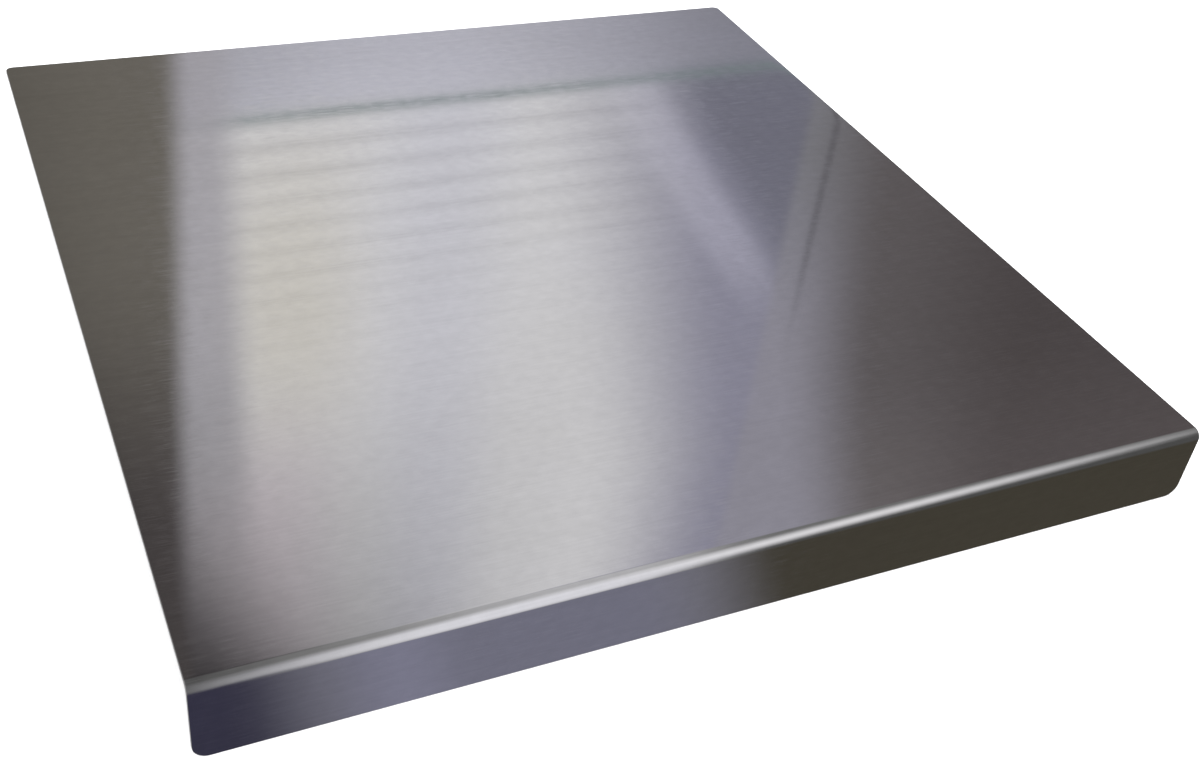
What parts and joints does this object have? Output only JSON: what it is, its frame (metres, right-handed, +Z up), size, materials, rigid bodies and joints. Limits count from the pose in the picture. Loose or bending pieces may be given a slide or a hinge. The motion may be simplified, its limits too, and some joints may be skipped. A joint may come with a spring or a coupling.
{
  "type": "worktop board",
  "caption": "Flat brushed stainless steel board with a down-turned front lip, on stick-on silicone pads, that lies on a worktop and hooks over its front edge.",
  "frame": {"origin": "the middle of the plane that the pads rest on, at the underside of the middle pad", "axes": "+X along the fold, to the right seen from the front; -Y towards the folded lip; +Z up, out of the working surface"},
  "size_m": [0.5, 0.52, 0.041],
  "materials": {
    "brushed_sheet": "satin, brushed along the fold",
    "silicone": "matte, slightly milky moulded silicone",
    "adhesive": "matte"
  },
  "bodies": {
    "root": {"board": "brushed_sheet", "pad_front_left": "silicone", "pad_front_right": "silicone", "pad_back_left": "silicone", "pad_back_right": "silicone", "pad_centre": "silicone", "adhesive_front_left": "adhesive", "adhesive_front_right": "adhesive", "adhesive_back_left": "adhesive", "adhesive_back_right": "adhesive", "adhesive_centre": "adhesive"}
  },
  "joints": []
}
